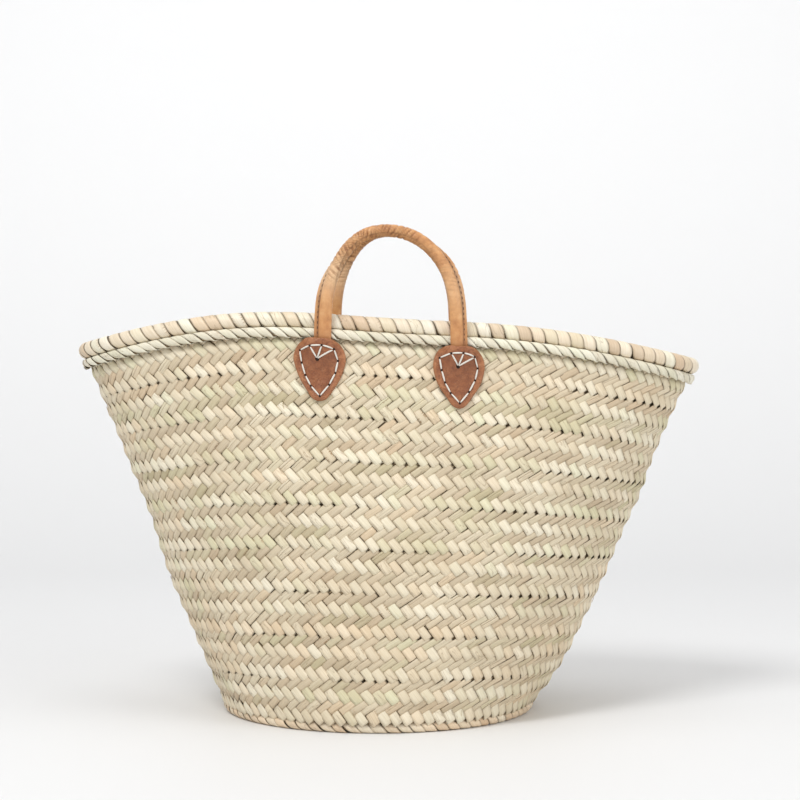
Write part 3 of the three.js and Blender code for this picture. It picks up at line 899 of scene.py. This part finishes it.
def wind_foot_ring():
    heap = Heap()

    def ring(share, angle, lift):
        radius = FOOT_RADIUS + (FOOT_HALF_DEPTH - 0.0003 + lift) * np.sin(angle)
        z = FOOT_HALF_HEIGHT + (FOOT_HALF_HEIGHT - 0.0003 + lift) * np.cos(angle)
        return on_base(2 * np.pi * share, radius, np.maximum(z, 0.00005))

    lay_wraps(heap, round(2 * np.pi * FOOT_RADIUS / FOOT_PITCH), ring, -2.4, 3.6, slope=0.95,
              crown=0.0006, overlap=0.0003, warmth=(0.45, 1.0), uneven=0.07)
    heap.add_shade_core(on_base, oval_section(FOOT_RADIUS, FOOT_HALF_HEIGHT, 0.0028, 0.0032), 120)
    fit(heap.finish("foot_ring_winding", [FOOT_LEAF, PAINTED_SHADE]), "wrapping_leaf",
        "foot_ring")


# ---------------- handles

SPIN_RADIUS = 10
SPIN_ANGLE = 3.0
SLEEVE_STEPS = 440
SLEEVE_SIDES = 30
PATH_STEPS = 600


def stitch_pattern():
    """One stitch of thread lying along z, from -1 to 1, with rounded ends."""
    deselect()
    bpy.ops.mesh.primitive_uv_sphere_add(segments=8, ring_count=8, radius=1)
    points, faces = take_apart(bpy.context.object)
    thick = np.hypot(points[:, 0], points[:, 1])
    fuller = np.where(thick > 1e-6, np.maximum(thick, 1e-6) ** -0.55, 1.0)
    points[:, :2] *= fuller[:, None]
    return points, faces


STITCH_POINTS, STITCH_FACES = stitch_pattern()


def leather_tube():
    """A leather sleeve with a sewn flange along one side, spun into an arch.

    Returns its points as progress along it, across and up in units of its radius, with the
    flange along +across."""
    tube = new_circle(SLEEVE_SIDES, location=(SPIN_RADIUS, 0, 0), rotation=(math.pi / 2, 0, 0))
    bpy.ops.object.transform_apply(location=True, rotation=True, scale=True)
    step = math.tau / SLEEVE_SIDES
    flange, half = FLANGE / HANDLE_RADIUS, FLANGE_HALF / HANDLE_RADIUS

    def near(co, angle):
        return abs(math.atan2(co.z, co.x - SPIN_RADIUS) - angle) < step * 0.3

    for side in (1, -1):
        shift(tube, lambda co: near(co, side * step), (0.02, 0, side * (half - math.sin(step))))
    pick(tube, lambda co: near(co, 0))
    bpy.ops.mesh.delete(type="VERT")
    object_mode()
    for side in (1, -1):
        end = max((vertex.co.copy() for vertex in tube.data.vertices),
                  key=lambda co: co.x - 3 * abs(co.z - side * half))
        pick(tube, lambda co: (co - end).length < 1e-4)
        for out, up in ((0.12, -0.25), (0.72, 0.20), (0.16, -0.25)):
            extrude((flange * out, 0, side * half * up))
        object_mode()
    pick(tube, lambda co: co.x - SPIN_RADIUS > 1.02 * math.cos(step) + flange * 0.8)
    bpy.ops.mesh.edge_face_add()
    bpy.ops.mesh.select_all(action="SELECT")
    bpy.ops.mesh.spin(steps=SLEEVE_STEPS, angle=SPIN_ANGLE, center=(0, 0, 0), axis=(0, 0, 1))
    bpy.ops.mesh.select_all(action="SELECT")
    bpy.ops.mesh.remove_doubles(threshold=0.001)
    bpy.ops.mesh.select_all(action="DESELECT")
    bpy.ops.mesh.select_non_manifold()
    bpy.ops.mesh.edge_face_add()
    object_mode()
    points, faces = take_apart(tube)
    x, y, up = points.T
    progress = np.abs(np.arctan2(y, x)) / SPIN_ANGLE
    return np.clip(progress, 0, 1), np.hypot(x, y) - SPIN_RADIUS, up, faces


def unit(vectors):
    return vectors / np.linalg.norm(vectors, axis=1, keepdims=True)


def at_shares(shares, places, table):
    """The rows of a table of points or directions at some places, read off between them."""
    return np.stack([np.interp(shares, places, column) for column in table.T], axis=-1)


def evened(line):
    run = run_along(line)
    return at_shares(np.linspace(0, run[-1], PATH_STEPS), run, line)


class HandlePath:
    """The line a handle's leather follows: up from under one patch, over, and down again."""

    def __init__(self, handle):
        x, y, side, rise = (handle[key] for key in ("x", "y", "side", "rise"))
        legs = []
        for leg in (-1, 1):
            leg_x = x + leg * HANDLE_HALF_SPAN
            cord_z = float(at_x(leg_x, CORD_HEIGHT, 0, side)[2])
            strap = [at_x(leg_x, PATCH_TOP - below, out, side) for below, out in STRAP_SEAT]
            strap += [(leg_x, y, cord_z - 0.001), (leg_x, y, (cord_z + HINGE_HEIGHT) / 2)]
            legs.append(np.array(strap))
        start = math.asin((HINGE_HEIGHT - HANDLE_ARCH_BASE) / rise)
        turn = np.linspace(start, np.pi - start, 80)
        across = np.sign(np.cos(turn)) * np.abs(np.cos(turn)) ** HANDLE_SHOULDER
        across = across - HANDLE_LEAN / HANDLE_HALF_SPAN * np.sin(turn) ** 4
        arch = np.stack([x - HANDLE_HALF_SPAN * across, np.full(turn.shape, y),
                         HANDLE_ARCH_BASE + rise * np.sin(turn)], axis=-1)
        line = np.concatenate([legs[0], arch, legs[1][::-1]])
        for passes in range(3):
            line = evened(line)
            for again in range(60):
                line[1:-1] = (line[:-2] + 2 * line[1:-1] + line[2:]) / 4
        self.line = evened(line)
        self.length = float(run_along(self.line)[-1])
        tangent = unit(np.gradient(self.line, axis=0))
        away = np.array([0.0, side, 0.0])
        self.depth = unit(away - tangent * (tangent @ away)[:, None])
        self.across = side * np.cross(tangent, self.depth)
        self.shares = np.linspace(0, 1, PATH_STEPS)
        self.strap_share = float(run_along(legs[0])[-1]) / self.length

    def arch(self, progress):
        """0 to 1 over the arch itself, from hinge to hinge."""
        return np.clip((progress - self.strap_share) / (1 - 2 * self.strap_share), 0, 1)

    def seam_turn(self, progress):
        """How far the seam is turned from the outer side of the arch towards the basket."""
        arch = self.arch(progress)
        return 0.22 + 1.0 * smooth(0.05, 0.30, arch) * (1 - smooth(0.60, 0.84, arch))

    def point(self, progress, across, up):
        """A point of the leather: across and up are lengths in its turned section."""
        at, out, away = (at_shares(progress, self.shares, table)
                         for table in (self.line, self.across, self.depth))
        turn = self.seam_turn(progress)
        wide = across * np.cos(turn) + up * np.sin(turn)
        deep = -across * np.sin(turn) + up * np.cos(turn)
        arch = self.arch(progress)
        full = smooth(-0.01, 0.10, np.minimum(arch, 1 - arch))
        full = np.where(np.minimum(progress, 1 - progress) < self.strap_share, 0, full)
        deep = deep * (FLAT_SHARE + (1 - FLAT_SHARE) * full)
        return at + out * wide[..., None] + away * deep[..., None]


def bell(value, middle, width):
    return np.exp(-((value - middle) / width) ** 2)


def make_sleeve(name, path):
    """The handle's leather, with the folds it has where it is pulled tight over the rope."""
    progress, across, up, faces = leather_tube()
    angle = np.arctan2(up, across)
    arch = path.arch(progress)
    length = progress * path.length
    creased = smooth(0.10, 0.24, arch) * (1 - 0.65 * smooth(0.50, 0.66, arch))
    creased = creased * (1 - smooth(0.80, 0.92, arch))
    first = np.sin(1450 * length + 3.0 * angle + 1.9 * np.sin(230 * length + 0.8 * angle))
    second = np.sin(1010 * length + 1.8 * angle + 2.3 * np.sin(150 * length + 1))
    fold = np.maximum(first, 0) ** 3 + 0.8 * np.maximum(second, 0) ** 4
    deep = creased * (0.65 + 0.35 * np.sin(310 * length - 2 * angle))
    radius = HANDLE_RADIUS - FOLD_DEPTH * deep * np.minimum(fold, 1.2)
    radius = radius + 0.00012 * np.sin(95 * length + angle) + 0.00010 * np.sin(47 * length)
    slack = 0.0003 * np.sin(130 * length) * (across > 1.1)
    share = path.strap_share
    values = {"flange": smooth(1.05, 1.3, across),
              # Painted shade in the channel between the tube and its flange.
              "groove_shade": smooth(1.42, 1.18, across) * smooth(0.85, 1.0, across),
              # Painted shade in the deep folds.
              "fold_shade": deep * np.minimum(fold, 1.0),
              # Painted shade on the side of the handle that faces away from the light.
              "under": smooth(0.2, -0.8, np.sin(angle + path.seam_turn(progress))),
              # A painted highlight near each shoulder of the arch.
              "worn": bell(arch, 0.19, 0.085) + 0.4 * bell(arch, 0.84, 0.09),
              # Darker towards both strap ends.
              "darker_by_strap_ends": 1 - smooth(0.45 * share, 1.35 * share,
                                    np.minimum(progress, 1 - progress)),
              "creased": creased}
    uv = np.stack([length * 100, angle * HANDLE_RADIUS * 100], axis=-1)
    leather = build(f"{name}_leather", path.point(progress, across * radius, up * radius + slack),
                    faces, [TAN_LEATHER], values=values, uv=uv)
    face_outwards(leather)
    return leather


def sew_seam(name, path):
    """The stitches that close the sleeve, on both sides of its flange."""
    heap = Heap()
    x, y, z = STITCH_POINTS.T
    out = HANDLE_RADIUS * 1.16 + 0.00042 * x
    sunk = 0.00045 * np.abs(z) ** 3
    for index in range(int(path.length / SEAM_PITCH)):
        begin, end = ((index + edge) * SEAM_PITCH / path.length for edge in (0.14, 0.86))
        if begin < 0.10 or end > 0.90:
            continue
        share = begin + (end - begin) * (z * 0.5 + 0.5)
        for side in (1, -1):
            rise = side * (FLANGE_HALF * 1.05 + 0.00038 * y * side - sunk)
            heap.add(path.point(share, out, rise), STITCH_FACES, tone=rng.random())
    return heap.finish(f"{name}_seam_stitches", [BROWN_THREAD])


def sew_handle(name, handle):
    path = HandlePath(handle)
    leather = make_sleeve(name, path)
    seam = sew_seam(name, path)
    for piece in (leather, seam):
        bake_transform(piece)
    prefix = name.split("_")[0]
    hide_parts(f"{name}_cover", f"{prefix}_left_strap_end",
                f"{prefix}_right_strap_end")
    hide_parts(f"{name}_seam_thread")


# ---------------- patches

PATCH_RINGS = (0.97, 0.93, 0.88, 0.83, 0.78, 0.73, 0.68, 0.60, 0.50, 0.40, 0.30, 0.20, 0.10)
OUTLINE_STEPS = 720


def patch_pattern():
    """A round leather blank with a rounded edge, cut in rings from its rim to its middle."""
    blank = new_circle(72)
    edit_whole(blank)
    reach = 1.0
    for smaller in PATCH_RINGS:
        bpy.ops.mesh.extrude_edges_move()
        bpy.ops.transform.resize(value=(smaller / reach, smaller / reach, 1))
        reach = smaller
    bpy.ops.mesh.edge_face_add()
    bpy.ops.mesh.poke()
    object_mode()
    thicken(blank, 1, 1)
    return take_apart(blank)


def closed_curve(corners):
    """A smooth closed line through corner points."""
    corners = np.asarray(corners, float)
    line = []
    for step in np.linspace(0, len(corners), OUTLINE_STEPS, endpoint=False):
        i, t = int(step), step - int(step)
        a, b, c, d = (corners[(i + k) % len(corners)] for k in (-1, 0, 1, 2))
        line.append(0.5 * (2 * b + (c - a) * t + (2 * a - 5 * b + 4 * c - d) * t * t
                           + (3 * b - 3 * c + d - a) * t ** 3))
    return np.array(line)


def distance_to_line(x, y, corners):
    best = np.full(x.shape, 1e9)
    for (ax, ay), (bx, by) in zip(corners, corners[1:] + corners[:1]):
        dx, dy = bx - ax, by - ay
        t = np.clip(((x - ax) * dx + (y - ay) * dy) / (dx * dx + dy * dy), 0, 1)
        best = np.minimum(best, np.hypot(x - ax - t * dx, y - ay - t * dy))
    return best


def patch_seat(across, below):
    """How far a patch stands off the wall, over the strap's end."""
    aside = np.abs(across)
    hood = PATCH_HOOD * (1 - smooth(6.5, 19, aside)) * (1 - smooth(4, 33, below))
    return PATCH_SEAT + hood + PATCH_CURL * smooth(13, 21, aside) * smooth(26, 8, below)


def cut_patch(name, place, turned):
    """The leather: drawn in along its stitches and at its eye, with a few creases below it."""
    right = PATCH_OUTLINE[1:-1]
    left = [(-across, below) for across, below in right][::-1]
    loop = closed_curve([PATCH_OUTLINE[0], *right, PATCH_OUTLINE[-1], *left])
    points, faces = patch_pattern()
    x, y, z = points.T
    reach = np.minimum(np.hypot(x, y), 1)
    turn = (np.arctan2(x, y) / (2 * np.pi)) % 1
    index = np.round(turn * OUTLINE_STEPS).astype(int) % OUTLINE_STEPS
    size = reach * (1 + 0.008 * np.sin(turn * 2 * np.pi * 5 + turned))
    across = loop[index, 0] * size
    below = PATCH_MIDDLE + (loop[index, 1] - PATCH_MIDDLE) * size
    seam = distance_to_line(across, below, STITCH_TURNS)
    eye = np.hypot(across - STITCH_EYE[0], below - STITCH_EYE[1])
    pull = 0.00050 * bell(seam, 0, 1.6) + 0.0009 * bell(eye, 0, 2.2)
    crease = 0.00022 * bell(eye, 6.5, 0.9) + 0.00016 * bell(eye, 10, 1.0)
    crease = crease * smooth(0, 4, below - STITCH_EYE[1])
    roll = np.sqrt(1 - ((reach - 0.93) / 0.07).clip(0, 1) ** 2)
    front = (PATCH_THICKNESS * (0.45 + 0.55 * roll) - pull - crease
             + 0.0002 * np.sin(across * 0.5 + below * 0.33))
    # Painted shade along the stitch line, where the leather is drawn in.
    values = {"rim": smooth(0.80, 1.0, reach), "stitch_line_shade": bell(seam, 0, 1.2),
              "inner": smooth(1.5, -1.0, np.where(reach < 0.72, -seam, seam))}
    patch = build(f"{name}_leather_patch", place(across, below, np.where(z > 0.5, front, 0.0)),
                  faces, [PATCH_LEATHER], values=values,
                  uv=np.stack([across * 0.1, below * 0.1], axis=-1))
    face_outwards(patch)
    fit(patch, "patch_leather", f"{name}_patch")


def sew_stitches(name, place):
    """Eleven stitches round the patch, and three that fan out from its eye."""
    heap = Heap()
    x, y, along = STITCH_POINTS.T
    edges = zip(STITCH_TURNS, STITCH_TURNS[1:] + STITCH_TURNS[:1])
    stitches = [(*edge, 0.75, 0.72, 0.00012) for edge in edges]
    stitches += [(STITCH_EYE, end, 0.55, 0.70, 0.00045) for end in FAN_STITCHES]
    for first, last, trim, radius, proud in stitches:
        first, way = np.array(first), np.subtract(last, first)
        reach = np.linalg.norm(way)
        share = trim / reach + (1 - 2 * trim / reach) * (along * 0.5 + 0.5)
        normal = np.array([-way[1], way[0]]) / reach
        line = first + way * share[:, None] + normal * (x * radius)[:, None]
        dip = 0.8 * radius * np.abs(along) ** 4
        rise = PATCH_THICKNESS + proud + (y * radius * 0.8 - dip) * 0.001
        heap.add(place(*line.T, rise), STITCH_FACES, tone=rng.random())
    fit(heap.finish(f"{name}_patch_stitches", [WHITE_THREAD]), "white_thread",
        f"{name}_stitching")


# Dark drops sunk into the patch at each stitch end and at its eye: painted shade standing for the
# needle holes.
def paint_hole_shades(name, place):
    heap = Heap()
    x, z, y = STITCH_POINTS.T
    for at, wide, deep in [*((turn, 0.85, -0.0002) for turn in STITCH_TURNS),
                           (STITCH_EYE, 1.7, -0.0006)]:
        heap.add(place(at[0] + x * wide, at[1] + y * wide,
                       PATCH_THICKNESS + deep + z * 0.00025), STITCH_FACES)
    fit(heap.finish(f"{name}_painted_hole_shades", [NEEDLE_HOLE_SHADE]), "patch_leather")


def sew_patch(name, middle_x, side):
    def place(across, below, rise):
        lifted = patch_seat(across, below)
        height = PATCH_TOP - below * 0.001 - 0.08 * lifted
        return at_x(middle_x - side * across * 0.001, height, lifted + rise, side)

    cut_patch(name, place, middle_x * 300)
    sew_stitches(name, place)
    paint_hole_shades(name, place)


# ---------------- loose fibres

def fibre_pattern():
    """A thin straight fibre along z from 0 to 1, cut in eight lengths and drawn to a point."""
    fibre = new_circle(4)
    edit_whole(fibre)
    bpy.ops.mesh.edge_face_add()
    for length in range(8):
        extrude((0, 0, 0.125))
    bpy.ops.transform.resize(value=(0.2, 0.2, 1))
    object_mode()
    return take_apart(fibre)


def lay_loose_fibres():
    """Hairs of leaf that have worked loose from the wall and the foot."""
    points, faces = fibre_pattern()
    x, y, along = points.T
    heap = Heap()
    for index in range(LOOSE_FIBRES):
        turn = rng.uniform(0, 2 * np.pi)
        near_foot = rng.random() < 0.3
        height = rng.uniform(0.0, 0.02) if near_foot else rng.uniform(0.01, 0.318)
        length = rng.uniform(0.006, 0.016)
        thick = rng.uniform(0.00012, 0.00030)
        way = rng.uniform(-0.9, 0.9) + (np.pi if rng.random() < 0.5 else 0)
        way = way + rng.uniform(-1.2, 1.2) * along
        stand = rng.uniform(0.0004, 0.0030)
        across = length * along * np.cos(way) + x * thick
        up = length * along * np.sin(way)
        out = (0.0020 + hand_unevenness(turn, height) + stand * along * (1.6 - along)
               + y * thick)
        place = on_wall(turn + across / float(half_length(height)),
                        np.clip(height + up, 0.001, 0.329), out)
        heap.add(place, faces, tone=rng.random(), warmth=rng.random())
    fit(heap.finish("loose_fibres", [PLAIT_LEAF]), "palm_leaf")


# ---------------- the basket

for number in range(1, COURSES + 1):
    plait_course(number)
for number in range(1, len(BASE_RINGS)):
    plait_base(number)
wind_rim_roll()
wind_rim_cord()
wind_foot_ring()
lay_loose_fibres()
sew_handle("front_handle", FRONT_HANDLE)
sew_handle("rear_handle", REAR_HANDLE)
for prefix, handle in (("front", FRONT_HANDLE), ("rear", REAR_HANDLE)):
    for label, leg in (("left", -1), ("right", 1)):
        middle = handle["x"] + leg * (HANDLE_HALF_SPAN + PATCH_SPREAD) + PATCH_SHIFT
        sew_patch(f"{prefix}_{label}", middle, handle["side"])

for name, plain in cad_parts.items():
    if "lacing" in name or "rope" in name:
        plain.material_slots[0].material = ROPE_FIBRE
    # The rim's core shows only between the wraps, so it gets painted shade.
    elif name == "rim_core":
        plain.material_slots[0].material = PAINTED_SHADE


# ---------------- room, light and camera

FLOOR_BEND = 1.6
FLOOR_BACK = 2.6
FLOOR_FRONT = -4.0
FLOOR_HALF_WIDTH = 6.0
FLOOR_TALL = 5.0
WORLD_STRENGTH = 0.61
CAMERA_PLACE = (0.0096, -2.10, 0.3675)
CAMERA_DIP = 2.7
CAMERA_LENS = 108.5

# Each lamp's place, the point it faces, its width and height, and its power in watts.
LAMPS = {"key": ((-1.0, -1.8, 3.0), (0, 0, 0.15), (1.1, 1.1), 56),
         "fill": ((2.2, -1.6, 1.3), (0, 0, 0.2), (1.8, 1.8), 18),
         "top": ((0.0, -0.1, 2.4), (0, 0, 0.2), (1.2, 1.2), 8),
         "backdrop": ((0.0, 1.4, 1.35), (0, 2.5, 1.0), (3.0, 0.3), 7.0)}


def make_room():
    """A pale floor that bends up into a back wall."""
    material, tree, shader = new_material("studio_floor", 0.6)
    shader.inputs["Base Color"].default_value = (0.795, 0.797, 0.80, 1)
    profile = [(FLOOR_FRONT, 0.0)]
    for angle in np.linspace(0, math.pi / 2, 13):
        profile.append((FLOOR_BACK - FLOOR_BEND * (1 - math.sin(angle)),
                        FLOOR_BEND * (1 - math.cos(angle))))
    profile.append((FLOOR_BACK, FLOOR_TALL))
    points = [(x, y, z) for y, z in profile for x in (-FLOOR_HALF_WIDTH, FLOOR_HALF_WIDTH)]
    faces = [[i, i + 1, i + 3, i + 2] for i in range(0, len(points) - 2, 2)]
    build("studio_floor", points, faces, [material])


def make_lamp(name, place, target, size, power):
    light = bpy.data.lights.new(name, "AREA")
    light.shape = "RECTANGLE"
    light.size, light.size_y = size
    light.energy = power
    lamp = add_object(name, light)
    lamp.location = place
    lamp.visible_camera = False
    aim = np.subtract(target, place)
    lamp.rotation_euler = (math.acos(-aim[2] / np.linalg.norm(aim)), 0,
                           math.atan2(-aim[0], aim[1]))


def make_studio():
    make_room()
    for name, settings in LAMPS.items():
        make_lamp(name, *settings)
    world = bpy.data.worlds.new("studio")
    bpy.context.scene.world = world
    world.use_nodes = True
    background = world.node_tree.nodes["Background"]
    background.inputs["Color"].default_value = (1, 1, 1, 1)
    background.inputs["Strength"].default_value = WORLD_STRENGTH
    bpy.context.scene.view_settings.view_transform = "Standard"
    bpy.context.scene.view_settings.look = "None"


def make_camera():
    camera = bpy.data.cameras.new("camera")
    camera.sensor_width = 36
    camera.lens = CAMERA_LENS
    camera.clip_end = 30
    holder = add_object("camera", camera)
    holder.location = CAMERA_PLACE
    holder.rotation_euler = (math.radians(90 - CAMERA_DIP), 0, 0)
    bpy.context.scene.camera = holder


make_studio()
make_camera()
